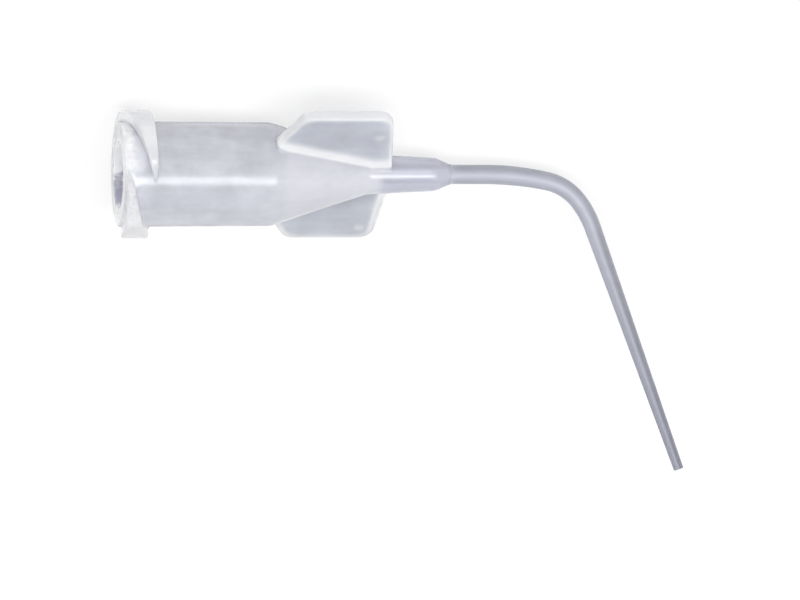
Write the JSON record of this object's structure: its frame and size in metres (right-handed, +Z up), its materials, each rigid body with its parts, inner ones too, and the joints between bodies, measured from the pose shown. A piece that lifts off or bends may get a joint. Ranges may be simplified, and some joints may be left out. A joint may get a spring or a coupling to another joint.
{
  "type": "dispensing needle tip",
  "caption": "Bent plastic dispensing tip with a luer lock hub, grip wings and a tapered tube.",
  "frame": {"origin": "on the bench under the middle of the part's bounding box", "axes": "+Z up from the bench on which the tip lies, +X from the mouth towards the bend, with the hub's axis in the XZ plane's direction and pitched 5.1 degrees down towards the bend, -Y towards the bent leg's tip"},
  "size_m": [0.0356, 0.0212, 0.0104],
  "materials": {
    "polypropylene": "natural milky polypropylene with a soft moulded sheen"
  },
  "bodies": {
    "root": {"dispensing_tip": "polypropylene"}
  },
  "joints": []
}
